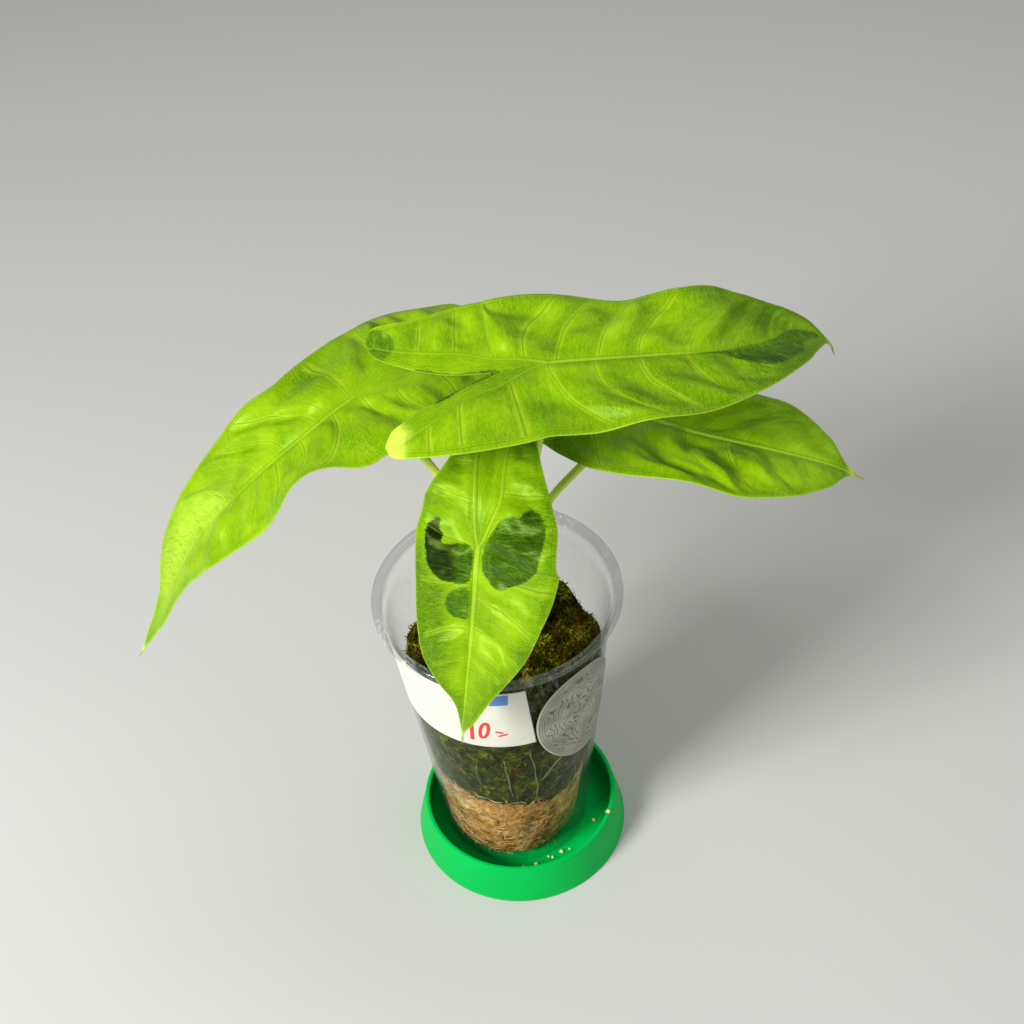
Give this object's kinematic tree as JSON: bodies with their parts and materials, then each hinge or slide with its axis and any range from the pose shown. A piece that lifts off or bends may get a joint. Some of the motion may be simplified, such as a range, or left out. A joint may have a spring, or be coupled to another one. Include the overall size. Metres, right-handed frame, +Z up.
{
  "type": "potted alocasia plant",
  "caption": "Young variegated alocasia with long arrow-shaped leaves on arching stalks, standing in moss in a clear tapered plastic cup on a green saucer.",
  "frame": {"origin": "centre of the saucer's flat underside", "axes": "+Z up, +X towards the leaf on the right of the picture, -Y towards the camera"},
  "size_m": [0.2708, 0.1345, 0.2563],
  "materials": {
    "green_plastic": "matt printed plastic with fine layer lines",
    "clear_plastic": "clear, a little scuffed",
    "tan_sphagnum": "damp fibrous moss",
    "dark_moss": "damp living moss",
    "corm_skin": "rough dry skin",
    "stalk_green": "smooth waxy",
    "blade_green": "satin waxy",
    "label_paper": "matt paper",
    "sticker_film": "satin printed film"
  },
  "bodies": {
    "root": {"saucer": "green_plastic", "cup": "clear_plastic", "pale_layer": "tan_sphagnum", "moss_layer": "dark_moss", "label": "label_paper", "sticker": "sticker_film", "corm": "corm_skin", "blade_top": "blade_green", "blade_left": "blade_green", "blade_right": "blade_green", "blade_front": "blade_green", "stalk_top": "stalk_green", "stalk_left": "stalk_green", "stalk_right": "stalk_green", "stalk_front": "stalk_green"}
  },
  "joints": []
}
